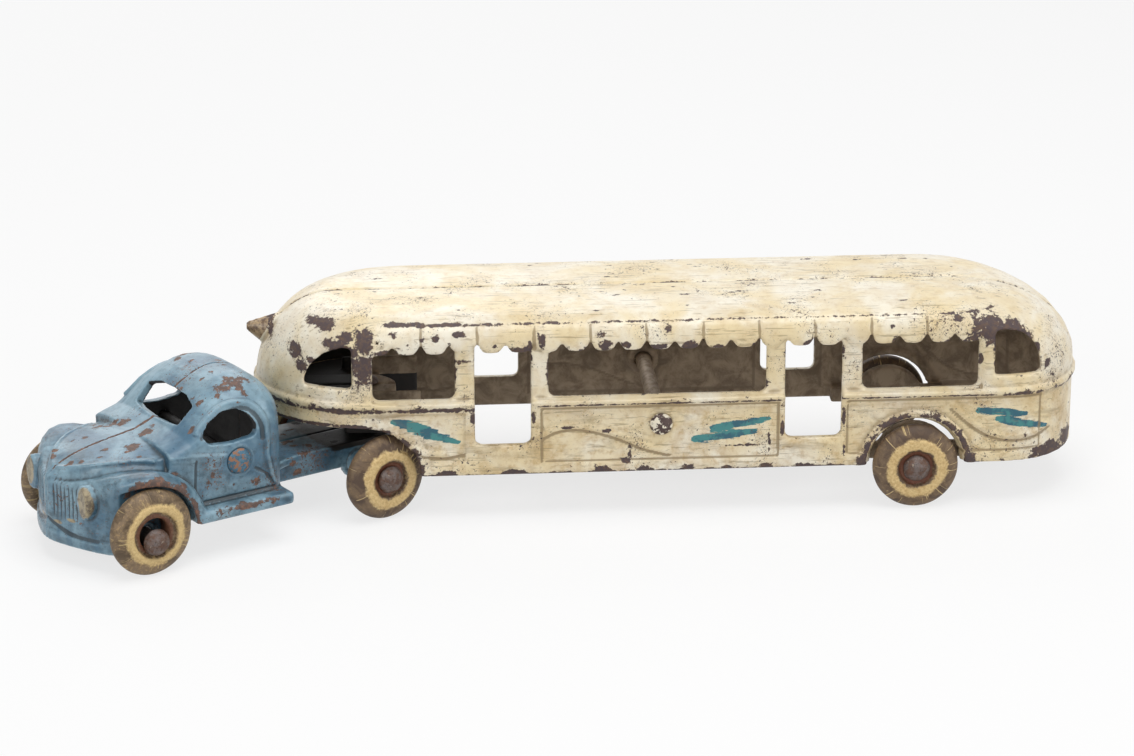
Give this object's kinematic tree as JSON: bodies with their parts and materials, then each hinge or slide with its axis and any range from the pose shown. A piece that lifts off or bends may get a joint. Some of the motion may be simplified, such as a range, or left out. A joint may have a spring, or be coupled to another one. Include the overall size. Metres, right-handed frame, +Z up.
{
  "type": "articulated toy bus",
  "caption": "Cast iron toy: a short blue tractor, hitched by a kingpin, tows a long round-nosed cream trailer body with open windows on free-rolling rubber wheels.",
  "frame": {"origin": "middle of the bounding box's footprint, on the ground that the wheels stand on", "axes": "+X runs along the trailer from its nose to its rear, +Y to the trailer's right-hand side and +Z up; at rest the tractor is turned 30 degrees, its nose towards -Y"},
  "size_m": [0.2717, 0.0979, 0.0529],
  "materials": {
    "cream_paint": "worn cream enamel with chips to dark iron",
    "blue_paint": "worn blue enamel with rust-brown wear",
    "steel_pin": "darkened, lightly rusted",
    "white_rubber": "aged white rubber, yellowed and soiled"
  },
  "bodies": {
    "trailer": {"trailer_left_half": "cream_paint", "trailer_right_half": "cream_paint", "trailer_cross_rivet": "steel_pin", "kingpin": "steel_pin"},
    "tractor": {"tractor_left_half": "blue_paint", "tractor_right_half": "blue_paint", "tractor_cross_rivet": "steel_pin"},
    "trailer_axle": {"trailer_axle": "steel_pin"},
    "tractor_front_axle": {"tractor_front_axle": "steel_pin"},
    "tractor_rear_axle": {"tractor_rear_axle": "steel_pin"},
    "trailer_left_wheel": {"trailer_left_wheel": "white_rubber"},
    "trailer_right_wheel": {"trailer_right_wheel": "white_rubber"},
    "tractor_rear_left_wheel": {"tractor_rear_left_wheel": "white_rubber"},
    "tractor_rear_right_wheel": {"tractor_rear_right_wheel": "white_rubber"},
    "tractor_front_left_wheel": {"tractor_front_left_wheel": "white_rubber"},
    "tractor_front_right_wheel": {"tractor_front_right_wheel": "white_rubber"}
  },
  "joints": [
    {"name": "hitch", "type": "hinge", "parent": "trailer", "child": "tractor", "pos_m": [-0.0479, 0.0168, 0.02], "axis": [0, 0, 1], "range_deg": [-60, 0]},
    {"name": "trailer_axle_spin", "type": "hinge", "parent": "trailer", "child": "trailer_axle", "pos_m": [0.0911, 0.0168, 0.01104], "axis": [0, 1, 0], "continuous": true},
    {"name": "trailer_left_wheel_spin", "type": "hinge", "parent": "trailer", "child": "trailer_left_wheel", "pos_m": [0.0911, -0.0102, 0.01104], "axis": [0, 1, 0], "continuous": true},
    {"name": "trailer_right_wheel_spin", "type": "hinge", "parent": "trailer", "child": "trailer_right_wheel", "pos_m": [0.0911, 0.0438, 0.01104], "axis": [0, 1, 0], "continuous": true},
    {"name": "tractor_rear_axle_spin", "type": "hinge", "parent": "tractor", "child": "tractor_rear_axle", "pos_m": [-0.05569, 0.0123, 0.01104], "axis": [-0.5, 0.866, 0], "continuous": true},
    {"name": "tractor_rear_left_wheel_spin", "type": "hinge", "parent": "tractor", "child": "tractor_rear_left_wheel", "pos_m": [-0.04369, -0.00848, 0.01104], "axis": [-0.5, 0.866, 0], "continuous": true},
    {"name": "tractor_rear_right_wheel_spin", "type": "hinge", "parent": "tractor", "child": "tractor_rear_right_wheel", "pos_m": [-0.06769, 0.03309, 0.01104], "axis": [-0.5, 0.866, 0], "continuous": true},
    {"name": "tractor_front_axle_spin", "type": "hinge", "parent": "tractor", "child": "tractor_front_axle", "pos_m": [-0.11389, -0.0213, 0.00914], "axis": [-0.5, 0.866, 0], "continuous": true},
    {"name": "tractor_front_left_wheel_spin", "type": "hinge", "parent": "tractor", "child": "tractor_front_left_wheel", "pos_m": [-0.10189, -0.04208, 0.01104], "axis": [-0.5, 0.866, 0], "continuous": true},
    {"name": "tractor_front_right_wheel_spin", "type": "hinge", "parent": "tractor", "child": "tractor_front_right_wheel", "pos_m": [-0.12589, -0.00052, 0.01104], "axis": [-0.5, 0.866, 0], "continuous": true}
  ]
}
